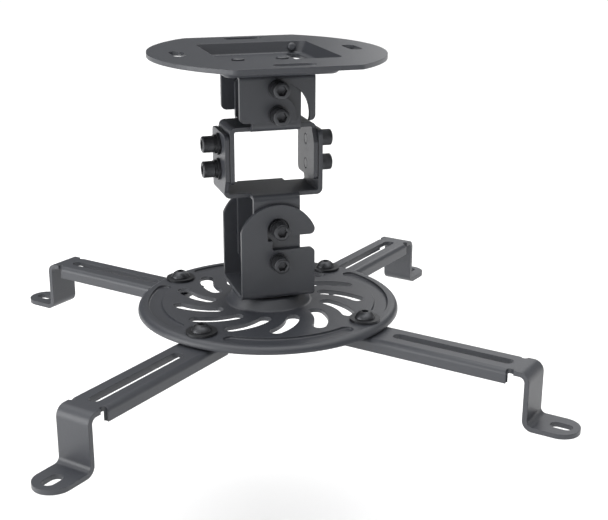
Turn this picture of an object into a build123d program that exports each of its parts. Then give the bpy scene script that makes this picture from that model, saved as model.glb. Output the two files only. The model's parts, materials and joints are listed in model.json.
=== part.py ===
from build123d import *
import math
import os

# Projector ceiling mount, in millimetres, +Z up.
# The origin is the centre of the ceiling plate's top face, and +X and +Y run along the plate's sides.

# Sheet metal and fits
SHEET_T = 2.0
NEST_GAP = 0.3
RUN_GAP = 0.1
SCREW_FIT = 0.05
BEND_IN = 0.8

# Ceiling plate
PLATE_HALF_X = 53.4
PLATE_HALF_Y = 52.6
PLATE_ARC_R = 65.8
PLATE_CORNER_R = 4.0
PLATE_SLOT_W = 6.2
FRONT_SLOT_LENGTH = 18.7
FRONT_SLOT_Y = 44.5
SIDE_SLOT_LENGTH = 16.5
SIDE_SLOT_X = 40.4
PAN_HALF_X = 26.6
PAN_HALF_Y = 29.0
PAN_DEPTH = 7.4
PAN_WALL_LEAN = 2.8
PAN_CORNER_R = 3.0
PAN_FLOOR_R = 1.0
CABLE_SLOT_X = 18.6
CABLE_SLOT_Y = 15.0
CABLE_SLOT_LENGTH = 20.0
CABLE_SLOT_W = 6.0

# Rivets and the small screw of the pan
RIVET_X = 10.5
RIVET_Y = 11.0
RIVET_R = 2.0
RIVET_HEAD_R = 3.0
RIVET_HEAD_H = 1.0
PAN_SCREW_X = 20.0
PAN_SCREW_DROP = 2.8
PAN_SCREW_R = 1.5
PAN_SCREW_HEAD_R = 2.1
PAN_SCREW_HEAD_H = 1.4
PAN_SCREW_REACH = 1.2

# M5 cap screws, their washers and the holes they turn in
SCREW_R = 2.5
HEAD_R = 3.8
HEAD_H = 5.4
HEAD_CHAMFER = 0.5
SOCKET_ACROSS_FLATS = 4.0
SOCKET_DEPTH = 2.6
LOCK_WASHER_R = 4.3
LOCK_WASHER_T = 1.3
LOCK_WASHER_SPLIT = 0.6
FLAT_WASHER_R = 5.0
FLAT_WASHER_T = 1.1
PIVOT_CLEARANCE = 0.08
SLOT_CLEARANCE = 0.6
SLOT_SCREW_RADIUS = 11.6

# Ceiling bracket
CEILING_BRACKET_HALF_X = 17.3
CEILING_BRACKET_DROP = 21.6
CEILING_BRACKET_CORNER_R = 2.4
UPPER_PIVOT_DROP = 16.4
UPPER_SLOT_END_ANGLE = -8.0

# Link brackets, both folded from a cross
LINK_WALL_HALF_Y = 16.2
LINK_LEG_HALF_X = 20.5
LINK_LEG_HALF_Y = 12.6
LINK_NECK_Y = 9.5
LINK_TAPER_LENGTH = 6.0
LINK_LEG_CORNER_R = 2.6
UPPER_WALL_HALF_X = 11.3
UPPER_WALL_TOP_R = 15.0
UPPER_BASE_TO_PIVOT = 5.9
SIDE_PIVOT_DROP = 19.0
UPPER_LEG_TIP = 5.4
SIDE_PIVOT_TO_BASE = 10.0
LOWER_LEG_TIP = 17.8
LOWER_WALL_HALF_X = 10.9
LOWER_WALL_TIP = 7.0
LOWER_WALL_CORNER_R = 3.0
HOOK_SCREW_DROP = 13.5
HOOK_SCREW_RADIUS = 15.8
SIDE_TILT_DEG = 15.0

# Swivel bracket
SWIVEL_BRACKET_HALF_X = 17.3
SWIVEL_PIVOT_TO_FLOOR = 15.65
DOME_R = 18.6
DOME_RISE = 8.5
NOTCH_FLOOR_RISE = 5.8
NOTCH_ROOF_RISE = 12.3
NOTCH_REACH = 2.8
NOTCH_POCKET_R = 5.0
NOTCH_LIP_R = 2.4
NOTCH_INNER_R = 0.8

# Swivel joint
SWIVEL_BOLT_R = 4.0
SWIVEL_HEAD_ACROSS_FLATS = 13.0
SWIVEL_HEAD_H = 5.3
SWIVEL_NUT_H = 6.5
SWIVEL_THREAD_END = 1.6
SWIVEL_WASHER_R = 8.0
SWIVEL_WASHER_T = 1.6
FRICTION_WASHER_R = 15.0
FRICTION_WASHER_T = 0.85

# Base disc
DISC_R = 62.0
DISC_RIM_DROP = 3.4
DISC_RIM_R = 3.0
DISC_TURN_DEG = -4.2
BOSS_RISE = 5.4
BOSS_TOP_R = 16.7
BOSS_FOOT_R = 20.0
BOSS_EDGE_R = 1.6
SWIRL_COUNT = 13
SWIRL_W = 6.3
SWIRL_FIRST_DEG = 176.5
SWIRL_FROM_RIM = 19.3
SWIRL_FROM_BOSS = 8.0
SWIRL_BULGE = 0.55
SWIRL_SWEEP_DEG = (0.0, 9.8, 19.2)
BEAD_INSET = 8.15
BEAD_W = 6.5
BEAD_DEPTH = 1.2
BEAD_HALF_SPAN_DEG = 29.0
BEAD_EDGE_R = 0.7

# Arms
ARM_NAMES = ("rear_right", "rear_left", "front_left", "front_right")
ARM_T = 2.2
ARM_HALF_W = 9.5
ARM_LEG_HALF_W = 8.4
ARM_START_BACK = 8.8
ARM_START_CORNER_R = 3.0
ARM_FLANGE_H = 6.2
ARM_FLANGE_BEND_R = 2.4
ARM_FLANGE_SHORT = 9.7
ARM_RELIEF = 1.6
ARM_CLAMP_INSET = 9.0
ARM_LEG_RADIUS = 136.2
ARM_BEND_IN = 2.4
ARM_DROP = 26.0
ARM_SLOT_FROM_CLAMP = 15.0
ARM_SLOT_SHORT = 10.9
ARM_SLOT_W = 5.5
FOOT_LENGTH = 20.4
FOOT_SLOT_BACK = 8.0
FOOT_SLOT_LENGTH = 9.6
FOOT_SLOT_W = 5.6

# Clamp screws of the arms
CLAMP_HEAD_R = 4.75
CLAMP_HEAD_H = 3.4
CLAMP_SOCKET_ACROSS_FLATS = 3.0
CLAMP_SOCKET_DEPTH = 1.8
TOP_WASHER_R = 7.0
TOP_WASHER_T = 1.2
SPACER_R = 5.5
SPACER_T = 2.3
LOWER_WASHER_R = 5.0
LOWER_WASHER_T = 1.0
CLAMP_NUT_ACROSS_FLATS = 8.0
CLAMP_NUT_H = 4.0
CLAMP_THREAD_END = 0.8

# Levels, worked out downwards from the ceiling
PAN_FLOOR_TOP = -PAN_DEPTH + SHEET_T
CEILING_BASE_TOP = -PAN_DEPTH
CEILING_BASE_UNDER = CEILING_BASE_TOP - SHEET_T
CEILING_WALL_TIP = CEILING_BASE_TOP - CEILING_BRACKET_DROP
UPPER_PIVOT_Z = CEILING_BASE_UNDER - UPPER_PIVOT_DROP
UPPER_SLOT_Z = UPPER_PIVOT_Z + SLOT_SCREW_RADIUS
UPPER_BASE_TOP = UPPER_PIVOT_Z - UPPER_BASE_TO_PIVOT
UPPER_BASE_UNDER = UPPER_BASE_TOP - SHEET_T
SIDE_PIVOT_Z = UPPER_BASE_UNDER - SIDE_PIVOT_DROP
SIDE_SLOT_Z = SIDE_PIVOT_Z + SLOT_SCREW_RADIUS
UPPER_LEG_TIP_Z = SIDE_PIVOT_Z - UPPER_LEG_TIP
LOWER_LEG_TIP_Z = SIDE_PIVOT_Z + LOWER_LEG_TIP
LOWER_BASE_TOP = SIDE_PIVOT_Z - SIDE_PIVOT_TO_BASE
LOWER_BASE_UNDER = LOWER_BASE_TOP - SHEET_T
HOOK_SCREW_Z = LOWER_BASE_UNDER - HOOK_SCREW_DROP
LOWER_PIVOT_Z = HOOK_SCREW_Z - HOOK_SCREW_RADIUS
LOWER_WALL_TIP_Z = LOWER_PIVOT_Z - LOWER_WALL_TIP
SWIVEL_FLOOR_TOP = LOWER_PIVOT_Z - SWIVEL_PIVOT_TO_FLOOR
SWIVEL_FLOOR_UNDER = SWIVEL_FLOOR_TOP - SHEET_T
BOSS_TOP = SWIVEL_FLOOR_UNDER - RUN_GAP - FRICTION_WASHER_T
DISC_TOP = BOSS_TOP - BOSS_RISE
DISC_UNDER = DISC_TOP - SHEET_T
ARM_TOP = DISC_UNDER - SPACER_T - RUN_GAP
ARM_UNDER = ARM_TOP - ARM_T
FOOT_UNDER = ARM_TOP - ARM_DROP
FOOT_TOP = FOOT_UNDER + ARM_T

# Radii of the disc and the arms, from the disc's axis
BEAD_R = DISC_R - BEAD_INSET
SWIRL_OUTER_R = DISC_R - SWIRL_FROM_RIM
SWIRL_INNER_R = BOSS_FOOT_R + SWIRL_FROM_BOSS
SWIRL_RADII = (SWIRL_OUTER_R, (SWIRL_OUTER_R + SWIRL_INNER_R) / 2 + SWIRL_BULGE, SWIRL_INNER_R)
ARM_CLAMP_RADIUS = DISC_R - ARM_CLAMP_INSET
ARM_START = ARM_CLAMP_RADIUS - ARM_START_BACK
ARM_SLOT_START = ARM_CLAMP_RADIUS + ARM_SLOT_FROM_CLAMP
ARM_SLOT_END = ARM_LEG_RADIUS - ARM_SLOT_SHORT
ARM_FLANGE_END = ARM_LEG_RADIUS - ARM_FLANGE_SHORT
FOOT_END_RADIUS = ARM_LEG_RADIUS + FOOT_LENGTH
FOOT_SLOT_RADIUS = FOOT_END_RADIUS - FOOT_SLOT_BACK

# Faces of the nested walls and legs, outwards from the middle
BRACKET_WALL_IN = LINK_WALL_HALF_Y + NEST_GAP
BRACKET_WALL_OUT = BRACKET_WALL_IN + SHEET_T
LOWER_LEG_IN = LINK_LEG_HALF_X + NEST_GAP
LOWER_LEG_OUT = LOWER_LEG_IN + SHEET_T
PIVOT_HOLE_R = SCREW_R + PIVOT_CLEARANCE
SLOT_HALF_W = SCREW_R + SLOT_CLEARANCE
TAPPED_R = SCREW_R + SCREW_FIT
ARM_PITCH_DEG = 360 / len(ARM_NAMES)
BIG = 400.0


def along_y(sketch, half):
    """Extrude an XZ sketch to both sides of the plane y = 0."""
    return extrude(Plane.XZ * sketch, amount=half, both=True)


def along_x(sketch, half):
    """Extrude a YZ sketch to both sides of the plane x = 0."""
    return extrude(Plane.YZ * sketch, amount=half, both=True)


def up(sketch, low, high):
    """Extrude an XY sketch from the level low to the level high."""
    return extrude(Pos(0, 0, low) * sketch, amount=high - low)


def box_sketch(x0, y0, x1, y1):
    """Rectangle between two opposite corners."""
    return Pos((x0 + x1) / 2, (y0 + y1) / 2) * Rectangle(abs(x1 - x0), abs(y1 - y0))


def rounded(sketch, points, radius):
    """Round the corners of a sketch that lie at the given points."""
    chosen = [v for v in sketch.vertices() if any(math.dist((v.X, v.Y), p) < 1e-3 for p in points)]
    return fillet(chosen, radius)


def channel_section(half_out, base, tip):
    """Bent sheet section: a base and two walls that run to the level tip, with rounded bends."""
    way = 1 if tip > base else -1
    inner_base = base + way * SHEET_T
    half_in = half_out - SHEET_T
    outer = box_sketch(-half_out, base, half_out, tip)
    outer = rounded(outer, [(-half_out, base), (half_out, base)], BEND_IN + SHEET_T)
    inner = box_sketch(-half_in, inner_base, half_in, tip + way * SHEET_T)
    inner = rounded(inner, [(-half_in, inner_base), (half_in, inner_base)], BEND_IN)
    return outer - inner


def arc_slot(centre, radius, start_deg, end_deg, half_w):
    """Slot of constant width along an arc about a centre, with round ends on the arc's ends."""
    x, y = centre
    points = []
    for angle in (start_deg, (start_deg + end_deg) / 2, end_deg):
        a = math.radians(angle)
        points.append((x + radius * math.cos(a), y + radius * math.sin(a)))
    return SlotArc(ThreePointArc(*points), 2 * half_w)


def ceiling_plate():
    offset = PLATE_ARC_R - PLATE_HALF_X
    outline = Pos(-offset, 0) * Circle(PLATE_ARC_R) & Pos(offset, 0) * Circle(PLATE_ARC_R)
    outline &= Rectangle(2 * PLATE_ARC_R, 2 * PLATE_HALF_Y)
    corner_x = math.sqrt(PLATE_ARC_R**2 - PLATE_HALF_Y**2) - offset
    corners = [(sx * corner_x, sy * PLATE_HALF_Y) for sx in (-1, 1) for sy in (-1, 1)]
    outline = rounded(outline, corners, PLATE_CORNER_R)
    for side in (-1, 1):
        outline -= Pos(0, side * FRONT_SLOT_Y) * SlotOverall(FRONT_SLOT_LENGTH, PLATE_SLOT_W)
        outline -= Pos(side * SIDE_SLOT_X, 0) * SlotOverall(SIDE_SLOT_LENGTH, PLATE_SLOT_W, rotation=90)
    plate = up(outline, -SHEET_T, 0)
    plate = plate + pan_form(SHEET_T, PAN_DEPTH) - pan_form(0, -PAN_FLOOR_TOP)
    cable_slot = Pos(CABLE_SLOT_X, CABLE_SLOT_Y) * SlotOverall(CABLE_SLOT_LENGTH, CABLE_SLOT_W, rotation=90)
    plate -= up(cable_slot, -PAN_DEPTH - SHEET_T, PAN_FLOOR_TOP + SHEET_T)
    for x, y in rivet_places():
        plate -= up(Pos(x, y) * Circle(RIVET_R + SCREW_FIT), -PAN_DEPTH - SHEET_T, 0)
    hole = up(Circle(PAN_SCREW_R + SCREW_FIT), -2 * SHEET_T, 2 * SHEET_T)
    return plate - on_pan_wall(hole)


def pan_form(wall, depth):
    """Form of the pressed pan, grown by a wall thickness, with walls that lean inwards to its floor."""
    lean = PAN_WALL_LEAN * depth / PAN_DEPTH
    corner = PAN_CORNER_R + wall
    rim = RectangleRounded(2 * (PAN_HALF_X + wall), 2 * (PAN_HALF_Y + wall), corner)
    floor = RectangleRounded(2 * (PAN_HALF_X + wall - lean), 2 * (PAN_HALF_Y + wall - lean), corner)
    form = loft([Pos(0, 0, -depth) * floor, rim], ruled=True)
    return fillet(form.edges().group_by(Axis.Z)[0], PAN_FLOOR_R + wall)


def on_pan_wall(piece):
    """Place a piece, made along +Z, on the inner face of the pan's rear wall, pointing into the pan."""
    lean_deg = math.degrees(math.atan2(PAN_WALL_LEAN, PAN_DEPTH))
    y = PAN_HALF_Y - PAN_SCREW_DROP * PAN_WALL_LEAN / PAN_DEPTH
    return Pos(PAN_SCREW_X, y, -PAN_SCREW_DROP) * (Rot(90 - lean_deg, 0, 0) * piece)


def rivet_places():
    return [(sx * RIVET_X, sy * RIVET_Y) for sx in (-1, 1) for sy in (-1, 1)]


def bracket_rivets():
    rivets = []
    for x, y in rivet_places():
        shank = Circle(RIVET_R)
        head = Circle(RIVET_HEAD_R)
        rivet = up(shank, CEILING_BASE_UNDER, PAN_FLOOR_TOP)
        top = up(head, PAN_FLOOR_TOP, PAN_FLOOR_TOP + RIVET_HEAD_H)
        top = chamfer(top.edges().group_by(Axis.Z)[-1], RIVET_HEAD_H / 2)
        foot = up(head, CEILING_BASE_UNDER - RIVET_HEAD_H, CEILING_BASE_UNDER)
        foot = chamfer(foot.edges().group_by(Axis.Z)[0], RIVET_HEAD_H / 2)
        rivets.append(Pos(x, y) * (rivet + top + foot))
    return rivets


def pan_screw():
    head = up(Circle(PAN_SCREW_HEAD_R), 0, PAN_SCREW_HEAD_H)
    head = fillet(head.edges().group_by(Axis.Z)[-1], 0.8 * PAN_SCREW_HEAD_H)
    shank = up(Circle(PAN_SCREW_R), -SHEET_T - PAN_SCREW_REACH, 0)
    return on_pan_wall(head + shank)


def ceiling_bracket():
    section = channel_section(BRACKET_WALL_OUT, CEILING_BASE_TOP, CEILING_WALL_TIP)
    bracket = along_x(section, CEILING_BRACKET_HALF_X)
    half = CEILING_BRACKET_HALF_X
    face = box_sketch(-half, CEILING_WALL_TIP, half, CEILING_BASE_TOP)
    face = rounded(face, [(-half, CEILING_WALL_TIP), (half, CEILING_WALL_TIP)], CEILING_BRACKET_CORNER_R)
    face -= Pos(0, UPPER_PIVOT_Z) * Circle(PIVOT_HOLE_R)
    face -= arc_slot((0, UPPER_PIVOT_Z), SLOT_SCREW_RADIUS, 90, UPPER_SLOT_END_ANGLE, SLOT_HALF_W)
    bracket &= along_y(face, BRACKET_WALL_OUT)
    for x, y in rivet_places():
        bracket -= up(Pos(x, y) * Circle(RIVET_R + SCREW_FIT), CEILING_BASE_UNDER - SHEET_T, 0)
    return bracket


def cross_leg(half_out, base, tip, clear_x):
    """Left leg of a folded cross, narrowed at the bend on its rear side and open to the cross at clear_x."""
    leg = along_y(channel_section(half_out, base, tip), LINK_LEG_HALF_Y)
    way = 1 if tip > base else -1
    edge = LINK_LEG_HALF_Y
    face = box_sketch(-edge, base, edge, tip)
    face = rounded(face, [(-edge, tip), (edge, tip)], LINK_LEG_CORNER_R)
    neck_end = base + way * (BEND_IN + SHEET_T)
    taper = Polyline(
        (LINK_NECK_Y, base - way * SHEET_T),
        (LINK_NECK_Y, neck_end),
        (edge, neck_end + way * LINK_TAPER_LENGTH),
        (edge + SHEET_T, neck_end + way * LINK_TAPER_LENGTH),
        (edge + SHEET_T, base - way * SHEET_T),
        close=True,
    )
    leg &= along_x(face, half_out)
    leg &= box_solid(-half_out, -clear_x, -BIG, BIG)
    cut = extrude(Plane.YZ * make_face(taper), amount=-BIG)
    return leg - cut


def box_solid(x0, x1, y0, y1):
    """Tall block between two x and two y planes."""
    return up(box_sketch(x0, y0, x1, y1), -BIG, BIG)


def folded_cross(leg, walls):
    """A leg, its copy turned half round, and the pair of walls, as one folded sheet."""
    return walls + leg + Rot(0, 0, 180) * leg


def side_holes(part, z, half_w, tilt_deg=0.0):
    """Holes along X at a level, widened to short arcs about the side pivot for a tilt."""
    hole = Pos(0, z) * Circle(half_w)
    if tilt_deg:
        hole = arc_slot((0, SIDE_PIVOT_Z), SLOT_SCREW_RADIUS, 90 - tilt_deg, 90 + tilt_deg, half_w)
    return part - along_x(hole, 2 * LOWER_LEG_OUT)


def front_holes(part, z):
    """Tapped holes along Y at a level."""
    return part - along_y(Pos(0, z) * Circle(TAPPED_R), 2 * BRACKET_WALL_OUT)


def upper_link_bracket():
    walls = along_x(channel_section(LINK_WALL_HALF_Y, UPPER_BASE_UNDER, -PAN_DEPTH), UPPER_WALL_HALF_X)
    face = Pos(0, UPPER_PIVOT_Z) * Circle(UPPER_WALL_TOP_R)
    face += box_sketch(-UPPER_WALL_TOP_R, UPPER_BASE_UNDER, UPPER_WALL_TOP_R, UPPER_PIVOT_Z)
    walls &= along_y(face, LINK_WALL_HALF_Y)
    leg = cross_leg(LINK_LEG_HALF_X, UPPER_BASE_TOP, UPPER_LEG_TIP_Z, UPPER_WALL_HALF_X)
    part = folded_cross(leg, walls)
    part = front_holes(part, UPPER_PIVOT_Z)
    part = front_holes(part, UPPER_SLOT_Z)
    part = side_holes(part, SIDE_PIVOT_Z, TAPPED_R)
    return side_holes(part, SIDE_SLOT_Z, TAPPED_R)


def lower_link_bracket():
    section = channel_section(LINK_WALL_HALF_Y, LOWER_BASE_TOP, LOWER_WALL_TIP_Z)
    walls = along_x(section, LOWER_WALL_HALF_X)
    half = LOWER_WALL_HALF_X
    face = box_sketch(-half, LOWER_WALL_TIP_Z, half, LOWER_BASE_TOP)
    face = rounded(face, [(-half, LOWER_WALL_TIP_Z), (half, LOWER_WALL_TIP_Z)], LOWER_WALL_CORNER_R)
    walls &= along_y(face, LINK_WALL_HALF_Y)
    leg = mirror(cross_leg(LOWER_LEG_OUT, LOWER_BASE_UNDER, LOWER_LEG_TIP_Z, LOWER_WALL_HALF_X), Plane.XZ)
    part = folded_cross(leg, walls)
    part = front_holes(part, LOWER_PIVOT_Z)
    part = front_holes(part, HOOK_SCREW_Z)
    part = side_holes(part, SIDE_PIVOT_Z, PIVOT_HOLE_R)
    return side_holes(part, SIDE_SLOT_Z, SLOT_HALF_W, SIDE_TILT_DEG)


def hook_notch():
    """Notch in the swivel bracket's walls: a lane from the right edge, and a pocket up round the hook screw."""
    floor = LOWER_PIVOT_Z + NOTCH_FLOOR_RISE
    roof = LOWER_PIVOT_Z + NOTCH_ROOF_RISE
    lane = box_sketch(-NOTCH_REACH, floor, BIG, roof)
    lane = rounded(lane, [(-NOTCH_REACH, floor)], NOTCH_INNER_R)
    pocket = box_sketch(-NOTCH_POCKET_R, roof - SHEET_T, NOTCH_POCKET_R, HOOK_SCREW_Z)
    return lane + pocket + Pos(0, HOOK_SCREW_Z) * Circle(NOTCH_POCKET_R)


def swivel_bracket():
    half = SWIVEL_BRACKET_HALF_X
    dome_z = LOWER_PIVOT_Z + DOME_RISE
    section = channel_section(BRACKET_WALL_OUT, SWIVEL_FLOOR_UNDER, dome_z + DOME_R)
    bracket = along_x(section, half)
    face = box_sketch(-half, SWIVEL_FLOOR_UNDER, half, dome_z)
    face += Pos(0, dome_z) * Circle(DOME_R) & box_sketch(-half, dome_z, half, dome_z + DOME_R)
    face -= hook_notch()
    floor = LOWER_PIVOT_Z + NOTCH_FLOOR_RISE
    roof = LOWER_PIVOT_Z + NOTCH_ROOF_RISE
    face = rounded(face, [(half, floor), (half, roof)], NOTCH_LIP_R)
    face -= Pos(0, LOWER_PIVOT_Z) * Circle(PIVOT_HOLE_R)
    bracket &= along_y(face, BRACKET_WALL_OUT)
    bolt_hole = Circle(SWIVEL_BOLT_R + PIVOT_CLEARANCE)
    return bracket - up(bolt_hole, SWIVEL_FLOOR_UNDER - SHEET_T, SWIVEL_FLOOR_TOP + SHEET_T)


def hex_socket(across_flats, top, depth):
    return up(RegularPolygon(across_flats / 2, 6, major_radius=False), top - depth, top)


def cap_screw(grip):
    """Cap screw along +Z with the underside of its head at z = 0 and its tip at z = -grip."""
    head = up(Circle(HEAD_R), 0, HEAD_H)
    head = chamfer(head.edges().group_by(Axis.Z)[-1], HEAD_CHAMFER)
    shank = up(Circle(SCREW_R), -grip, 0)
    return head + shank - hex_socket(SOCKET_ACROSS_FLATS, HEAD_H, SOCKET_DEPTH)


def washer(outer_r, hole_r, thickness, split=0.0):
    """Washer with its underside at z = 0, split on one side where it is a spring lock washer."""
    ring = up(Circle(outer_r) - Circle(hole_r), 0, thickness)
    if split:
        ring -= Rot(20, 0, 0) * Box(2 * outer_r, split, 4 * thickness, align=(Align.MIN, Align.CENTER, Align.CENTER))
    return ring


def pair_along_y(piece, z, face):
    """The piece on the front face and its copy on the back face, both pointing outwards."""
    front = Pos(0, -face, z) * (Rot(90, 0, 0) * piece)
    return [front, Rot(0, 0, 180) * front]


def pair_along_x(piece, z, face):
    """The piece on the right face and its copy on the left face, both pointing outwards."""
    right = Pos(face, 0, z) * (Rot(0, 90, 0) * piece)
    return [right, Rot(0, 0, 180) * right]


def front_back_screws(z):
    """Two cap screws through the bracket walls, tapped into the link walls, with their lock washers."""
    seat = BRACKET_WALL_OUT + RUN_GAP + LOCK_WASHER_T
    screws = pair_along_y(cap_screw(seat - LINK_WALL_HALF_Y + SHEET_T), z, seat)
    ring = washer(LOCK_WASHER_R, TAPPED_R, LOCK_WASHER_T, LOCK_WASHER_SPLIT)
    return screws, pair_along_y(ring, z, BRACKET_WALL_OUT + RUN_GAP)


def side_screws(z):
    """Two cap screws through the lower link's legs, tapped into the upper link's legs, with washers."""
    flat_seat = LOWER_LEG_OUT + RUN_GAP
    lock_seat = flat_seat + FLAT_WASHER_T
    seat = lock_seat + LOCK_WASHER_T
    screws = pair_along_x(cap_screw(seat - LINK_LEG_HALF_X + SHEET_T), z, seat)
    flats = pair_along_x(washer(FLAT_WASHER_R, TAPPED_R, FLAT_WASHER_T), z, flat_seat)
    locks = pair_along_x(washer(LOCK_WASHER_R, TAPPED_R, LOCK_WASHER_T, LOCK_WASHER_SPLIT), z, lock_seat)
    return screws, flats, locks


def friction_washer():
    return Pos(0, 0, BOSS_TOP) * washer(FRICTION_WASHER_R, SWIVEL_BOLT_R + SCREW_FIT, FRICTION_WASHER_T)


def swivel_bolt():
    head_top = BOSS_TOP - SHEET_T
    head = hex_socket(SWIVEL_HEAD_ACROSS_FLATS, head_top, SWIVEL_HEAD_H)
    tip = SWIVEL_FLOOR_TOP + RUN_GAP + SWIVEL_WASHER_T + SWIVEL_NUT_H + SWIVEL_THREAD_END
    return head + up(Circle(SWIVEL_BOLT_R), head_top, tip)


def swivel_washer():
    ring = washer(SWIVEL_WASHER_R, SWIVEL_BOLT_R + SCREW_FIT, SWIVEL_WASHER_T)
    return Pos(0, 0, SWIVEL_FLOOR_TOP + RUN_GAP) * ring


def hex_nut(across_flats, hole_r, height):
    """Hex nut with its underside at z = 0 and its corners turned down at both ends."""
    nut = hex_socket(across_flats, height, height)
    corner_r = across_flats / math.sqrt(3)
    turned = up(Circle(corner_r), 0, height)
    turned = chamfer(turned.edges().group_by(Axis.Z)[0] + turned.edges().group_by(Axis.Z)[-1], 0.08 * across_flats)
    return (nut & turned) - up(Circle(hole_r), -height, 2 * height)


def swivel_nut():
    nut = hex_nut(SWIVEL_HEAD_ACROSS_FLATS, SWIVEL_BOLT_R + SCREW_FIT, SWIVEL_NUT_H)
    return Pos(0, 0, SWIVEL_FLOOR_TOP + RUN_GAP + SWIVEL_WASHER_T) * nut


def disc_section():
    """Half section of the pressed disc in XZ: boss, flat and the rim turned down."""
    hole = SWIVEL_BOLT_R + SCREW_FIT
    rim_in = DISC_R - SHEET_T
    boss_in = BOSS_TOP_R - SHEET_T
    foot_in = BOSS_FOOT_R - SHEET_T
    rim_low = DISC_TOP - DISC_RIM_DROP
    outline = Polyline(
        (hole, BOSS_TOP),
        (BOSS_TOP_R, BOSS_TOP),
        (BOSS_FOOT_R, DISC_TOP),
        (DISC_R, DISC_TOP),
        (DISC_R, rim_low),
        (rim_in, rim_low),
        (rim_in, DISC_UNDER),
        (foot_in, DISC_UNDER),
        (boss_in, BOSS_TOP - SHEET_T),
        (hole, BOSS_TOP - SHEET_T),
        close=True,
    )
    section = make_face(outline)
    section = rounded(section, [(DISC_R, DISC_TOP)], DISC_RIM_R)
    section = rounded(section, [(rim_in, DISC_UNDER)], DISC_RIM_R - SHEET_T)
    return rounded(section, [(BOSS_TOP_R, BOSS_TOP), (BOSS_FOOT_R, DISC_TOP)], BOSS_EDGE_R)


def swirl_slot(index):
    """Curved slot of constant width through an outer, a middle and an inner point."""
    points = []
    for radius, sweep in zip(SWIRL_RADII, SWIRL_SWEEP_DEG):
        angle = math.radians(SWIRL_FIRST_DEG + sweep + index * 360 / SWIRL_COUNT)
        points.append((radius * math.cos(angle), radius * math.sin(angle)))
    return SlotArc(ThreePointArc(*points), SWIRL_W)


def arm_angles():
    """Angle of each arm about Z, in the order of the arm names."""
    first = ARM_PITCH_DEG / 2 + DISC_TURN_DEG
    return [first + index * ARM_PITCH_DEG for index in range(len(ARM_NAMES))]


def base_disc():
    disc = revolve(Plane.XZ * disc_section(), Axis.Z)
    for angle in arm_angles():
        middle = angle + ARM_PITCH_DEG / 2
        start = middle - BEAD_HALF_SPAN_DEG
        end = middle + BEAD_HALF_SPAN_DEG
        swell = arc_slot((0, 0), BEAD_R, start, end, BEAD_W / 2 + BEAD_DEPTH / 2)
        disc += up(swell, DISC_UNDER - BEAD_DEPTH, DISC_UNDER + SHEET_T / 4)
        groove = up(arc_slot((0, 0), BEAD_R, start, end, BEAD_W / 2), DISC_TOP - BEAD_DEPTH, DISC_TOP)
        groove = fillet(groove.edges().group_by(Axis.Z)[0], BEAD_EDGE_R)
        disc -= groove
        disc -= up(clamp_spot(angle, PIVOT_HOLE_R), DISC_UNDER - SHEET_T, DISC_TOP + SHEET_T)
    for index in range(SWIRL_COUNT):
        disc -= up(swirl_slot(index), DISC_UNDER - SHEET_T, DISC_TOP + SHEET_T)
    return disc


def clamp_spot(angle, radius):
    a = math.radians(angle)
    return Pos(ARM_CLAMP_RADIUS * math.cos(a), ARM_CLAMP_RADIUS * math.sin(a)) * Circle(radius)


def arm_strip():
    """Side view of the arm as a bent strip: flat run, leg down and foot outwards."""
    leg_in = ARM_LEG_RADIUS - ARM_T
    outline = Polyline(
        (ARM_START, ARM_TOP),
        (ARM_LEG_RADIUS, ARM_TOP),
        (ARM_LEG_RADIUS, FOOT_TOP),
        (FOOT_END_RADIUS, FOOT_TOP),
        (FOOT_END_RADIUS, FOOT_UNDER),
        (leg_in, FOOT_UNDER),
        (leg_in, ARM_UNDER),
        (ARM_START, ARM_UNDER),
        close=True,
    )
    side = make_face(outline)
    side = rounded(side, [(ARM_LEG_RADIUS, ARM_TOP), (leg_in, FOOT_UNDER)], ARM_BEND_IN + ARM_T)
    side = rounded(side, [(leg_in, ARM_UNDER), (ARM_LEG_RADIUS, FOOT_TOP)], ARM_BEND_IN)
    return along_y(side, ARM_HALF_W)


def arm_channel():
    """Flanged run of the arm: a shallow channel open downwards."""
    low = ARM_TOP - ARM_FLANGE_H
    half_in = ARM_HALF_W - ARM_T
    outer = box_sketch(-ARM_HALF_W, low, ARM_HALF_W, ARM_TOP)
    outer = rounded(outer, [(-ARM_HALF_W, ARM_TOP), (ARM_HALF_W, ARM_TOP)], ARM_FLANGE_BEND_R)
    section = outer - box_sketch(-half_in, low - ARM_T, half_in, ARM_UNDER)
    return extrude(Plane.YZ.offset(ARM_START) * section, amount=ARM_FLANGE_END - ARM_START)


def arm(angle):
    """Arm along +X, turned to its angle about Z."""
    strip = arm_strip()
    channel = arm_channel()
    run = box_solid(-BIG, ARM_FLANGE_END, -BIG, BIG)
    part = strip - run + channel
    foot_centre = FOOT_END_RADIUS - ARM_LEG_HALF_W
    plan = box_sketch(ARM_START, -ARM_HALF_W, ARM_FLANGE_END, ARM_HALF_W)
    plan = rounded(plan, [(ARM_START, -ARM_HALF_W), (ARM_START, ARM_HALF_W)], ARM_START_CORNER_R)
    plan += box_sketch(ARM_FLANGE_END, -ARM_LEG_HALF_W, foot_centre, ARM_LEG_HALF_W)
    plan += Pos(foot_centre, 0) * Circle(ARM_LEG_HALF_W)
    plan -= Pos(ARM_CLAMP_RADIUS, 0) * Circle(PIVOT_HOLE_R)
    slot_middle = (ARM_SLOT_START + ARM_SLOT_END) / 2
    plan -= Pos(slot_middle, 0) * SlotOverall(ARM_SLOT_END - ARM_SLOT_START, ARM_SLOT_W)
    plan -= Pos(FOOT_SLOT_RADIUS, 0) * SlotOverall(FOOT_SLOT_LENGTH, FOOT_SLOT_W)
    relief_x = ARM_FLANGE_END + ARM_RELIEF / 2
    for side in (-1, 1):
        plan -= Pos(relief_x, side * ARM_LEG_HALF_W) * Circle(ARM_RELIEF)
    part &= up(plan, FOOT_UNDER - SHEET_T, ARM_TOP + SHEET_T)
    return Rot(0, 0, angle) * part


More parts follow.
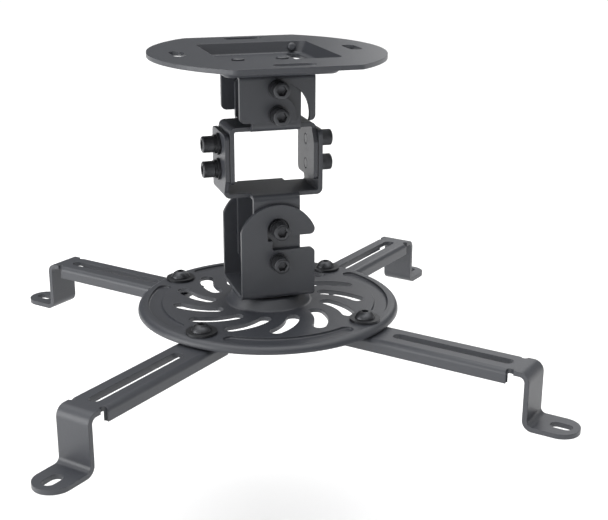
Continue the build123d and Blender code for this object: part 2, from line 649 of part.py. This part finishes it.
def on_clamp(piece, angle, z):
    return Rot(0, 0, angle) * (Pos(ARM_CLAMP_RADIUS, 0, z) * piece)


def clamp_screw():
    """Domed button-head screw: the underside of its head at z = 0."""
    sphere_r = (CLAMP_HEAD_R**2 + CLAMP_HEAD_H**2) / (2 * CLAMP_HEAD_H)
    dome = Pos(0, 0, CLAMP_HEAD_H - sphere_r) * Sphere(sphere_r)
    head = up(Circle(CLAMP_HEAD_R), 0, CLAMP_HEAD_H) & dome
    grip = DISC_TOP + TOP_WASHER_T - clamp_nut_z() + CLAMP_NUT_H + CLAMP_THREAD_END
    shank = up(Circle(SCREW_R), -grip, 0)
    return head + shank - hex_socket(CLAMP_SOCKET_ACROSS_FLATS, CLAMP_HEAD_H, CLAMP_SOCKET_DEPTH)


def clamp_nut_z():
    """Level of the clamp nut's upper face."""
    return ARM_UNDER - RUN_GAP - LOWER_WASHER_T


def clamp_pieces(angle):
    """Screw, washers and nut that hold one arm to the disc."""
    nut = hex_nut(CLAMP_NUT_ACROSS_FLATS, TAPPED_R, CLAMP_NUT_H)
    return {
        "clamp_screw": on_clamp(clamp_screw(), angle, DISC_TOP + TOP_WASHER_T),
        "top_washer": on_clamp(washer(TOP_WASHER_R, TAPPED_R, TOP_WASHER_T), angle, DISC_TOP),
        "spacer_washer": on_clamp(washer(SPACER_R, TAPPED_R, SPACER_T), angle, DISC_UNDER - SPACER_T),
        "lower_washer": on_clamp(washer(LOWER_WASHER_R, TAPPED_R, LOWER_WASHER_T), angle, clamp_nut_z()),
        "clamp_nut": on_clamp(nut, angle, clamp_nut_z() - CLAMP_NUT_H),
    }


def all_nodes():
    nodes = {
        "ceiling_plate": ceiling_plate(),
        "bracket_rivets": bracket_rivets(),
        "pan_screw": pan_screw(),
        "ceiling_bracket": ceiling_bracket(),
        "upper_link_bracket": upper_link_bracket(),
        "lower_link_bracket": lower_link_bracket(),
        "swivel_bracket": swivel_bracket(),
        "friction_washer": friction_washer(),
        "swivel_bolt": swivel_bolt(),
        "swivel_washer": swivel_washer(),
        "swivel_nut": swivel_nut(),
        "base_disc": base_disc(),
    }
    nodes["upper_pivot_screws"], pivot_washers = front_back_screws(UPPER_PIVOT_Z)
    nodes["upper_slot_screws"], slot_washers = front_back_screws(UPPER_SLOT_Z)
    nodes["upper_lock_washers"] = pivot_washers + slot_washers
    nodes["lower_pivot_screws"], pivot_washers = front_back_screws(LOWER_PIVOT_Z)
    nodes["hook_screws"], slot_washers = front_back_screws(HOOK_SCREW_Z)
    nodes["lower_lock_washers"] = pivot_washers + slot_washers
    nodes["side_pivot_screws"], pivot_flats, pivot_locks = side_screws(SIDE_PIVOT_Z)
    nodes["side_slot_screws"], slot_flats, slot_locks = side_screws(SIDE_SLOT_Z)
    nodes["side_flat_washers"] = pivot_flats + slot_flats
    nodes["side_lock_washers"] = pivot_locks + slot_locks
    for name, angle in zip(ARM_NAMES, arm_angles()):
        nodes[f"{name}_arm"] = arm(angle)
        for kind, piece in clamp_pieces(angle).items():
            nodes[f"{name}_{kind}"] = piece
    return nodes


def main():
    os.makedirs("parts", exist_ok=True)
    for name, shape in all_nodes().items():
        if isinstance(shape, list):
            shape = Compound(children=shape)
        export_step(shape, f"parts/{name}.step")


main()
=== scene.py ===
import json
import math

import bmesh
import bpy
import numpy as np
from mathutils import Matrix, Vector


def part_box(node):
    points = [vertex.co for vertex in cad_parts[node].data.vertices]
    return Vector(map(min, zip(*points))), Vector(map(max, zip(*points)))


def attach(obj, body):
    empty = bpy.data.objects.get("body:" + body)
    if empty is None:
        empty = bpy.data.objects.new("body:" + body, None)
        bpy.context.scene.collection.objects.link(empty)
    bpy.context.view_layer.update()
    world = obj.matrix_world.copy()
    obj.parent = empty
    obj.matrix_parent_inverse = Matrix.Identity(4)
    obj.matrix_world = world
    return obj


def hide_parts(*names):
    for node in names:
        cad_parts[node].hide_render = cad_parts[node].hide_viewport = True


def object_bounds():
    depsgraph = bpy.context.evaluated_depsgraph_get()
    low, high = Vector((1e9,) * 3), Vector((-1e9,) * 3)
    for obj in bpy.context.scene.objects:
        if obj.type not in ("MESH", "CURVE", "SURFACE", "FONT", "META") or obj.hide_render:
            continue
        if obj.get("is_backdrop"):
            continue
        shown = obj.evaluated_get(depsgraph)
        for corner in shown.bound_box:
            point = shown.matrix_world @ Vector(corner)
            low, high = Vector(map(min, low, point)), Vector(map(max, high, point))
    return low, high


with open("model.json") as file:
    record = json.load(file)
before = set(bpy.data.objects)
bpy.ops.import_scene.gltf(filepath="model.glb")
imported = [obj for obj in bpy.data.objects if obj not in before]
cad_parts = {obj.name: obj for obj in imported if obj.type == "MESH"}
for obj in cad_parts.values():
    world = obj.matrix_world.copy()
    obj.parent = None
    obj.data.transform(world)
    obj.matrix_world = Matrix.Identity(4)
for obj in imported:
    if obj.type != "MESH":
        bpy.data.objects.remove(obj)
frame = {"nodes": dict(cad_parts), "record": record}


def plain(bounds):
    """Bounds as lists of plain numbers, however they are nested."""
    if isinstance(bounds, dict):
        return {key: plain(value) for key, value in bounds.items()}
    if hasattr(bounds, "__len__") and not isinstance(bounds, str):
        return [plain(value) for value in bounds]
    return round(float(bounds), 6)


bounds_before = plain(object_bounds())

MM = 0.001

# Camera: where the photograph was taken from, in metres, with its turn to the right and its tilt down.
CAMERA_PLACE = (-0.13506, -0.49611, 0.0699)
CAMERA_YAW = 0.299
CAMERA_PITCH = 0.317
CAMERA_ROLL = 0.003
CAMERA_LENS = 67.47
CAMERA_SENSOR = 36.0

# Screws of the links, in millimetres: what the frame's boxes don't tell.
CAP_HEAD_H = 5.4
CAP_SHANK_R = 2.5
CAP_SOCKET_AF = 4.0
CAP_SOCKET_DEPTH = 2.6
KNURL_RIDGES = 36
KNURL_DEPTH = 0.11
# How far in the screws reach from the middle, by the way they point: the inner faces of the links' walls.
SCREW_REACH = {0: 18.5, 1: 14.2}

# Clamp screws of the arms, and the swivel bolt, in millimetres.
CLAMP_HEAD_R = 4.75
CLAMP_HEAD_H = 3.4
CLAMP_SHANK_R = 2.5
CLAMP_SOCKET_AF = 3.0
CLAMP_SOCKET_DEPTH = 1.8
CLAMP_PITCH = 0.8
BOLT_HEAD_AF = 13.0
BOLT_HEAD_H = 5.3
BOLT_SHANK_R = 4.0
BOLT_PITCH = 1.25
THREAD_DEPTH_SHARE = 0.6
# How far a thread runs into its head, so that both are closed and none shows a gap.
THREAD_LAP = 0.2
# Points round a head or a rod, and rings to each turn of a thread.
HEAD_TURNS = 72
THREAD_TURNS = 48
THREAD_STEPS = 10
# Edges that bend more than this, in degrees, stay sharp.
SMOOTH_DEG = 38

# Widths of the finishes' patterns, in millimetres. A baked powder coat has an orange peel of 1 to 2, and
# grains under 0.1, which are drawn coarser so that they show. So are the fine tool marks under the oxide.
COAT_CLOUD = 22.0
COAT_PEEL = 1.1
COAT_GRAIN = 0.28
OXIDE_CLOUD = 3.0
OXIDE_GRAIN = 0.18
NYLON_GRAIN = 0.35
# Depths of those patterns, and how much deeper the peel is than the grain.
COAT_GRAIN_DEPTH = 0.012
OXIDE_GRAIN_DEPTH = 0.006
NYLON_GRAIN_DEPTH = 0.01
PEEL_DEEPER = 3
# Radii that the shading gives to the edges of the coated sheet and of the stamped nylon.
COAT_EDGE = 0.45
NYLON_EDGE = 0.15
# The powder coat's glossier skin: how much of it shows, and how rough it is.
COAT_SKIN = 0.1
COAT_SKIN_ROUGH = 0.34
# Black oxide lets most of the steel's metal sheen through. Stamped nylon is matt.
OXIDE_METALLIC = 0.75
NYLON_ROUGH = 0.62
# Sockets of a Mix node that mixes colours: its share, the two colours, and the outcome.
MIX_SHARE, MIX_FIRST, MIX_SECOND, MIX_COLOUR = 0, 6, 7, 2

# How far the floor lies under the feet, in millimetres: the arms dip up to 84 when the links tilt.
FLOOR_DROP = 92.0
# Half the floor's side, in metres, and its paper's colour and roughness.
FLOOR_HALF = 6.0
FLOOR_COLOUR = "#f4f4f4"
FLOOR_ROUGH = 0.9
# Lamps: name, place in metres, width, height and watts. All are white and point at the middle of the mount.
LAMP_AIM = (0, 0, -0.09)
LAMPS = (
    ("lamp_above", (0.0, 0.0, 1.5), 1.8, 1.8, 8.0),
    ("lamp_left", (-1.2, -0.15, 0.12), 1.0, 0.7, 11.0),
    ("lamp_right", (1.2, 0.0, 0.12), 0.9, 0.7, 1.1),
    ("lamp_front_left", (-0.9, -1.3, 0.35), 0.9, 0.6, 3.0),
    ("lamp_back_right", (0.85, 1.25, 0.5), 0.7, 0.6, 2.2),
)
# Surround: it rises from dim to bright between these heights on a ball of radius 1, and looks white.
SURROUND_HEIGHTS = (0.45, 0.95)
SURROUND_STRENGTHS = (0.06, 2.3)
SURROUND_SEEN = 1.0

ARM_NAMES = ("rear_right", "rear_left", "front_left", "front_right")


def linear(colour):
    """Linear RGBA from an sRGB hex colour."""
    values = [int(colour[i : i + 2], 16) / 255 for i in (1, 3, 5)]
    values = [v / 12.92 if v <= 0.04045 else ((v + 0.055) / 1.055) ** 2.4 for v in values]
    return (*values, 1.0)


def add(tree, kind, links=(), settings=(), values=()):
    """New shader node with links (input, output), settings (attribute, value) and values (input, value)."""
    node = tree.nodes.new(kind)
    for name, value in settings:
        setattr(node, name, value)
    for name, value in values:
        node.inputs[name].default_value = value
    for name, output in links:
        tree.links.new(output, node.inputs[name])
    return node


def material(name):
    """Empty material with a principled surface, and the object coordinates that its patterns read."""
    made = bpy.data.materials.new(name)
    made.use_nodes = True
    tree = made.node_tree
    surface = tree.nodes["Principled BSDF"]
    place = add(tree, "ShaderNodeTexCoord").outputs["Object"]
    return made, tree, surface, place


def per_metre(width_mm):
    """Noise scale whose features are about that many millimetres wide."""
    return 1 / (width_mm * MM)


def finish_normal(tree, surface, grain, depth_mm, edge_mm, peel=None):
    """Fine relief over edges that the shading rounds by a radius, as a coat or a worn edge does."""
    edge = add(
        tree, "ShaderNodeBevel", settings=[("samples", 6)], values=[("Radius", edge_mm * MM)]
    ).outputs["Normal"]
    if peel is not None:
        edge = add(
            tree, "ShaderNodeBump",
            links=[("Height", peel), ("Normal", edge)],
            values=[("Strength", 1.0), ("Distance", PEEL_DEEPER * depth_mm * MM)],
        ).outputs["Normal"]
    relief = add(
        tree, "ShaderNodeBump",
        links=[("Height", grain), ("Normal", edge)],
        values=[("Strength", 1.0), ("Distance", depth_mm * MM)],
    )
    tree.links.new(relief.outputs["Normal"], surface.inputs["Normal"])


def powder_coat(name, light, dark, rough_low, rough_high):
    """Steel sheet, blanked and folded, with a baked powder coat: charcoal and satin, with an orange peel."""
    made, tree, surface, place = material(name)
    cloud = add(
        tree, "ShaderNodeTexNoise",
        links=[("Vector", place)], values=[("Scale", per_metre(COAT_CLOUD)), ("Detail", 3.0)],
    ).outputs["Fac"]
    peel = add(
        tree, "ShaderNodeTexNoise",
        links=[("Vector", place)], values=[("Scale", per_metre(COAT_PEEL)), ("Detail", 2.0)],
    ).outputs["Fac"]
    grain = add(
        tree, "ShaderNodeTexNoise",
        links=[("Vector", place)], values=[("Scale", per_metre(COAT_GRAIN)), ("Detail", 2.0)],
    ).outputs["Fac"]
    share = add(
        tree, "ShaderNodeMapRange", links=[("Value", cloud)], values=[("To Min", 0.2), ("To Max", 0.8)]
    ).outputs["Result"]
    shade = add(
        tree, "ShaderNodeMix",
        links=[(MIX_SHARE, share)],
        settings=[("data_type", "RGBA")],
        values=[(MIX_FIRST, linear(dark)), (MIX_SECOND, linear(light))],
    )
    tree.links.new(shade.outputs[MIX_COLOUR], surface.inputs["Base Color"])
    rough = add(
        tree, "ShaderNodeMapRange",
        links=[("Value", grain)], values=[("To Min", rough_low), ("To Max", rough_high)],
    )
    tree.links.new(rough.outputs["Result"], surface.inputs["Roughness"])
    surface.inputs["Metallic"].default_value = 0.0
    surface.inputs["Coat Weight"].default_value = COAT_SKIN
    surface.inputs["Coat Roughness"].default_value = COAT_SKIN_ROUGH
    finish_normal(tree, surface, grain, COAT_GRAIN_DEPTH, COAT_EDGE, peel)
    return made


def black_oxide(name, light, dark, rough_low, rough_high, edge_mm):
    """Turned and rolled steel, blackened hot in a bath and oiled: near black, with a soft metal sheen."""
    made, tree, surface, place = material(name)
    cloud = add(
        tree, "ShaderNodeTexNoise",
        links=[("Vector", place)], values=[("Scale", per_metre(OXIDE_CLOUD)), ("Detail", 3.0)],
    ).outputs["Fac"]
    grain = add(
        tree, "ShaderNodeTexNoise",
        links=[("Vector", place)], values=[("Scale", per_metre(OXIDE_GRAIN)), ("Detail", 2.0)],
    ).outputs["Fac"]
    shade = add(
        tree, "ShaderNodeMix",
        links=[(MIX_SHARE, cloud)],
        settings=[("data_type", "RGBA")],
        values=[(MIX_FIRST, linear(dark)), (MIX_SECOND, linear(light))],
    )
    tree.links.new(shade.outputs[MIX_COLOUR], surface.inputs["Base Color"])
    rough = add(
        tree, "ShaderNodeMapRange",
        links=[("Value", grain)], values=[("To Min", rough_low), ("To Max", rough_high)],
    )
    tree.links.new(rough.outputs["Result"], surface.inputs["Roughness"])
    surface.inputs["Metallic"].default_value = OXIDE_METALLIC
    finish_normal(tree, surface, grain, OXIDE_GRAIN_DEPTH, edge_mm)
    return made


def stamped_nylon(name, light, dark):
    """Nylon washer, stamped from black sheet: matt, with a faint grain."""
    made, tree, surface, place = material(name)
    grain = add(
        tree, "ShaderNodeTexNoise",
        links=[("Vector", place)], values=[("Scale", per_metre(NYLON_GRAIN)), ("Detail", 3.0)],
    ).outputs["Fac"]
    shade = add(
        tree, "ShaderNodeMix",
        links=[(MIX_SHARE, grain)],
        settings=[("data_type", "RGBA")],
        values=[(MIX_FIRST, linear(dark)), (MIX_SECOND, linear(light))],
    )
    tree.links.new(shade.outputs[MIX_COLOUR], surface.inputs["Base Color"])
    surface.inputs["Roughness"].default_value = NYLON_ROUGH
    finish_normal(tree, surface, grain, NYLON_GRAIN_DEPTH, NYLON_EDGE)
    return made


def rings_mesh(profile, turns, ripple=0.0, ridges=0):
    """Points and faces of a turned piece about Z, ring by ring up its profile.

    Each profile row is (radius, height, kind). A round ring has r(a) = radius. A knurled one takes away twice
    the ripple times a wave of that many ridges. A hexagon has r(a) = radius / cos((a mod 60) - 30), where
    radius is half its width across flats.
    """
    angle = np.linspace(0, 2 * math.pi, turns, endpoint=False)
    wave = 0.5 - 0.5 * np.abs(np.cos(angle * ridges / 2)) if ridges else 0 * angle
    flat = 1 / np.cos(np.mod(angle, math.pi / 3) - math.pi / 6)
    shapes = {"round": (1 + 0 * angle, 0.0), "knurl": (1 + 0 * angle, 2 * ripple), "hex": (flat, 0.0)}
    rows = []
    for radius, height, kind in profile:
        scale, depth = shapes[kind]
        r = radius * scale - depth * wave
        rows.append(np.column_stack([r * np.cos(angle), r * np.sin(angle), np.full(turns, height)]))
    return np.concatenate(rows), grid_faces(len(profile), turns)


def grid_faces(rows, columns):
    """Quads between neighbouring rings of a closed grid, whole arrays at a time."""
    row, column = np.meshgrid(np.arange(rows - 1), np.arange(columns), indexing="ij")
    after = (column + 1) % columns
    here, above = row * columns, (row + 1) * columns
    corners = [here + column, here + after, above + after, above + column]
    return np.stack(corners, axis=-1).reshape(-1, 4)


def threaded_mesh(radius, pitch, low, high):
    """Threaded rod about Z: r(a, z) = R - depth * tooth(z / pitch - a / 2 pi), a tooth with straight flanks.

    Its lower end is tapered, and both ends are closed.
    """
    depth = THREAD_DEPTH_SHARE * pitch
    angle = np.linspace(0, 2 * math.pi, THREAD_TURNS, endpoint=False)
    height = np.linspace(low, high, max(8, int((high - low) / pitch * THREAD_STEPS)))
    a, z = np.meshgrid(angle, height)
    # The tooth is 0 on the crest and 1 in the root, both flat, with straight flanks between.
    phase = np.mod(z / pitch - a / (2 * math.pi), 1.0)
    tooth = np.clip(2.6 * np.abs(phase - 0.5) - 0.15, 0, 1)
    end = np.clip((z - low) / (0.6 * pitch), 0.35, 1)
    r = (radius - depth * tooth) * (0.8 + 0.2 * end)
    points = np.stack([r * np.cos(a), r * np.sin(a), z], axis=-1).reshape(-1, 3)
    faces = grid_faces(len(height), THREAD_TURNS)
    middles = np.array([[0.0, 0.0, low], [0.0, 0.0, high]])
    ring = np.arange(THREAD_TURNS)
    after = np.roll(ring, -1)
    last = (len(height) - 1) * THREAD_TURNS
    bottom = np.column_stack([np.full(THREAD_TURNS, len(points)), after, ring, ring])
    above = last + after
    top = np.column_stack([np.full(THREAD_TURNS, len(points) + 1), last + ring, above, above])
    return np.concatenate([points, middles]), np.concatenate([faces, bottom, top])


def joined(parts):
    """Several sets of points and faces as one."""
    points, faces, start = [], [], 0
    for p, f in parts:
        points.append(p)
        faces.append(f + start)
        start += len(p)
    return np.concatenate(points), np.concatenate(faces)


def placed(part, matrix):
    """Points and faces with the points moved by a matrix."""
    points, faces = part
    m = np.array(matrix)
    return points @ m[:3, :3].T + m[:3, 3], faces


def mesh_object(name, part, finish):
    """Object at the origin from points in millimetres and quads: poles closed, smooth but for its edges."""
    points, faces = part
    rows = [tuple(dict.fromkeys(face)) for face in faces.tolist()]
    mesh = bpy.data.meshes.new(name)
    mesh.from_pydata((points * MM).tolist(), [], rows)
    form = bmesh.new()
    form.from_mesh(mesh)
    bmesh.ops.remove_doubles(form, verts=form.verts, dist=1e-6)
    form.to_mesh(mesh)
    form.free()
    mesh.materials.append(finish)
    mesh.shade_smooth()
    mesh.set_sharp_from_angle(angle=math.radians(SMOOTH_DEG))
    mesh.validate()
    made = bpy.data.objects.new(name, mesh)
    bpy.context.scene.collection.objects.link(made)
    return made


def cap_screw_part(head_r, grip):
    """Cap screw about Z, its head's underside at z = 0: knurled head, bevelled rim and a hexagon socket."""
    floor = CAP_HEAD_H - CAP_SOCKET_DEPTH
    socket = CAP_SOCKET_AF / 2
    # Up the shank, out along the head's underside, up its knurled side, over the rim and down the socket.
    profile = [
        (0.0, -grip, "round"),
        (CAP_SHANK_R - 0.4, -grip, "round"),
        (CAP_SHANK_R, -grip + 0.4, "round"),
        (CAP_SHANK_R, 0.0, "round"),
        (head_r - 0.25, 0.0, "round"),
        (head_r, 0.2, "round"),
        (head_r, 0.45, "round"),
        (head_r, 0.6, "knurl"),
        (head_r, 0.55 * CAP_HEAD_H, "knurl"),
        (head_r, CAP_HEAD_H - 0.95, "knurl"),
        (head_r, CAP_HEAD_H - 0.8, "round"),
        (head_r - 0.1, CAP_HEAD_H - 0.35, "round"),
        (head_r - 0.55, CAP_HEAD_H, "round"),
        (socket + 0.5, CAP_HEAD_H, "round"),
        (socket + 0.12, CAP_HEAD_H, "hex"),
        (socket, CAP_HEAD_H - 0.15, "hex"),
        (socket, floor, "hex"),
        (0.0, floor - 0.5, "round"),
    ]
    return rings_mesh(profile, 4 * KNURL_RIDGES, KNURL_DEPTH, KNURL_RIDGES)


def pair_of_screws(node, body, finish):
    """Two cap screws in place of a node's, one on each side along the node's long way."""
    low, high = (np.array(corner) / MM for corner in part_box(node))
    size = high - low
    way = int(size.argmax())
    middle = (low + high) / 2
    others = [i for i in range(3) if i != way]
    head_r = size[others].mean() / 2
    seat = high[way] - CAP_HEAD_H
    part = cap_screw_part(head_r, seat - SCREW_REACH[way])
    parts = []
    for side in (1, -1):
        axis = Vector((0, 0, 0))
        axis[way] = side
        turn = axis.to_track_quat("Z", "Y").to_matrix().to_4x4()
        centre = Vector(middle)
        centre[way] = side * seat
        parts.append(placed(part, Matrix.Translation(centre) @ turn))
    made = mesh_object(f"{node}_knurled", joined(parts), finish)
    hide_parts(node)
    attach(made, body)


def clamp_screw_part(shank):
    """Domed screw about Z, its head's underside at z = 0: r(z) follows a sphere up to a hexagon socket."""
    sphere_r = (CLAMP_HEAD_R**2 + CLAMP_HEAD_H**2) / (2 * CLAMP_HEAD_H)
    socket = CLAMP_SOCKET_AF / 2
    rim = socket + 0.35
    crown = CLAMP_HEAD_H - sphere_r + math.sqrt(sphere_r**2 - rim**2)
    profile = [(0.0, 0.0, "round"), (CLAMP_SHANK_R, 0.0, "round"), (CLAMP_HEAD_R - 0.2, 0.0, "round")]
    for share in np.linspace(0.06, 1.0, 9):
        height = share * crown
        profile.append((math.sqrt(sphere_r**2 - (height - CLAMP_HEAD_H + sphere_r) ** 2), height, "round"))
    profile += [
        (socket + 0.1, crown, "hex"),
        (socket, crown - 0.12, "hex"),
        (socket, CLAMP_HEAD_H - CLAMP_SOCKET_DEPTH, "hex"),
        (0.0, CLAMP_HEAD_H - CLAMP_SOCKET_DEPTH - 0.4, "round"),
    ]
    head = rings_mesh(profile, HEAD_TURNS)
    thread = threaded_mesh(CLAMP_SHANK_R, CLAMP_PITCH, -shank, THREAD_LAP)
    return joined([head, thread])


def clamp_screw(arm, finish):
    """Domed clamp screw with a thread, in place of the arm's plain one."""
    node = f"{arm}_clamp_screw"
    low, high = (np.array(corner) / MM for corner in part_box(node))
    middle = (low + high) / 2
    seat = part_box(f"{arm}_top_washer")[1].z / MM
    part = placed(clamp_screw_part(seat - low[2]), Matrix.Translation((middle[0], middle[1], seat)))
    made = mesh_object(f"{node}_threaded", part, finish)
    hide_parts(node)
    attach(made, "disc")


def swivel_bolt(finish):
    """Hexagon bolt with a thread that ends above its nut, in place of the plain one."""
    low, high = (corner.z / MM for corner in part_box("swivel_bolt"))
    head_top = low + BOLT_HEAD_H
    flat = BOLT_HEAD_AF / 2
    profile = [
        (0.0, low, "round"),
        (flat - 0.4, low, "round"),
        (flat - 0.2, low + 0.25, "hex"),
        (flat, low + 0.5, "hex"),
        (flat, head_top, "hex"),
        (BOLT_SHANK_R, head_top, "round"),
        (0.0, head_top, "round"),
    ]
    head = rings_mesh(profile, HEAD_TURNS)
    upside = Matrix.Translation((0, 0, high + head_top)) @ Matrix.Rotation(math.pi, 4, "X")
    thread = placed(threaded_mesh(BOLT_SHANK_R, BOLT_PITCH, head_top, high + THREAD_LAP), upside)
    made = mesh_object("swivel_bolt_threaded", joined([head, thread]), finish)
    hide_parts("swivel_bolt")
    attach(made, "disc")


def paint_frame(finishes):
    """Give every CAD node the finish of its slot in the record."""
    slots = {part["node"]: part["material_slot"] for part in frame["record"]["subparts"]}
    for name, piece in frame["nodes"].items():
        piece.data.materials.clear()
        piece.data.materials.append(finishes[slots[name]])


def camera():
    """Camera at the photograph's place: forward is turned by the yaw, tilted down by the pitch."""
    yaw, pitch, roll = CAMERA_YAW, CAMERA_PITCH, CAMERA_ROLL
    right = Vector((math.cos(yaw), -math.sin(yaw), 0))
    ahead = Vector((math.sin(yaw) * math.cos(pitch), math.cos(yaw) * math.cos(pitch), -math.sin(pitch)))
    top = right.cross(ahead)
    side = math.cos(roll) * right + math.sin(roll) * top
    over = math.cos(roll) * top - math.sin(roll) * right
    data = bpy.data.cameras.new("camera")
    data.lens = CAMERA_LENS
    data.sensor_width = CAMERA_SENSOR
    made = bpy.data.objects.new("camera", data)
    bpy.context.scene.collection.objects.link(made)
    turn = Matrix((side, over, -ahead)).transposed().to_4x4()
    made.matrix_world = Matrix.Translation(CAMERA_PLACE) @ turn
    bpy.context.scene.camera = made


def soft_lamp(name, place, width, height, watts):
    """Large flat white lamp that points at the middle of the mount."""
    data = bpy.data.lights.new(name, "AREA")
    data.shape = "RECTANGLE"
    data.size = width
    data.size_y = height
    data.energy = watts
    data.color = linear("#ffffff")[:3]
    made = bpy.data.objects.new(name, data)
    bpy.context.scene.collection.objects.link(made)
    way = Vector(LAMP_AIM) - Vector(place)
    made.matrix_world = Matrix.Translation(place) @ way.to_track_quat("-Z", "Y").to_matrix().to_4x4()


def studio_floor():
    """Plain pale floor, matt as studio paper, well under the feet."""
    floor_z = min(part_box(f"{arm}_arm")[0].z for arm in ARM_NAMES) - FLOOR_DROP * MM
    made, tree, surface, place = material("studio_paper_matt_white")
    surface.inputs["Base Color"].default_value = linear(FLOOR_COLOUR)
    surface.inputs["Roughness"].default_value = FLOOR_ROUGH
    half = FLOOR_HALF
    corners = [(-half, -half, floor_z), (half, -half, floor_z), (half, half, floor_z), (-half, half, floor_z)]
    mesh = bpy.data.meshes.new("studio_floor")
    mesh.from_pydata(corners, [], [(0, 1, 2, 3)])
    mesh.materials.append(made)
    floor = bpy.data.objects.new("studio_floor", mesh)
    bpy.context.scene.collection.objects.link(floor)
    floor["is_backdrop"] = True


def surround():
    """Surround that is bright overhead, falls off towards the height of the eye, and looks white itself."""
    world = bpy.data.worlds.new("studio_surround")
    world.use_nodes = True
    tree = world.node_tree
    back = tree.nodes["Background"]
    back.inputs["Color"].default_value = linear("#ffffff")
    place = add(tree, "ShaderNodeTexCoord").outputs["Generated"]
    height = add(tree, "ShaderNodeSeparateXYZ", links=[("Vector", place)]).outputs["Z"]
    rise = add(
        tree, "ShaderNodeMapRange",
        links=[("Value", height)],
        values=[
            ("From Min", SURROUND_HEIGHTS[0]),
            ("From Max", SURROUND_HEIGHTS[1]),
            ("To Min", SURROUND_STRENGTHS[0]),
            ("To Max", SURROUND_STRENGTHS[1]),
        ],
    ).outputs["Result"]
    seen = add(tree, "ShaderNodeLightPath").outputs["Is Camera Ray"]
    strength = add(
        tree, "ShaderNodeMix", links=[("Factor", seen), ("A", rise)], values=[("B", SURROUND_SEEN)]
    )
    tree.links.new(strength.outputs["Result"], back.inputs["Strength"])
    bpy.context.scene.world = world


def main():
    finishes = {
        "powder_coated_steel": powder_coat(
            "steel_sheet_charcoal_powder_coat", "#383a3f", "#323439", 0.38, 0.48
        ),
        "coated_rivets": powder_coat(
            "steel_rivets_charcoal_powder_coat", "#3b3d42", "#35373c", 0.36, 0.46
        ),
        "blackened_screws": black_oxide("steel_screws_black_oxide", "#494a4d", "#393a3c", 0.30, 0.42, 0.12),
        "blackened_washers": black_oxide("steel_washers_black_oxide", "#414245", "#333436", 0.32, 0.46, 0.10),
        "zinc_fasteners": black_oxide("steel_bolt_black_zinc", "#4b4c50", "#3d3e42", 0.28, 0.40, 0.15),
        "friction_nylon": stamped_nylon("nylon_washer_black_stamped", "#1c1c1d", "#161617"),
    }
    # The plain view transform keeps the white backdrop of the photograph white.
    bpy.context.scene.view_settings.view_transform = "Standard"
    paint_frame(finishes)
    screws = finishes["blackened_screws"]
    for node in ("upper_pivot_screws", "upper_slot_screws", "side_pivot_screws", "side_slot_screws"):
        pair_of_screws(node, "upper_link", screws)
    for node in ("lower_pivot_screws", "hook_screws"):
        pair_of_screws(node, "lower_link", screws)
    for arm in ARM_NAMES:
        clamp_screw(arm, screws)
    swivel_bolt(finishes["zinc_fasteners"])
    camera()
    studio_floor()
    surround()
    for lamp in LAMPS:
        soft_lamp(*lamp)


main()
bounds_after = plain(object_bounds())
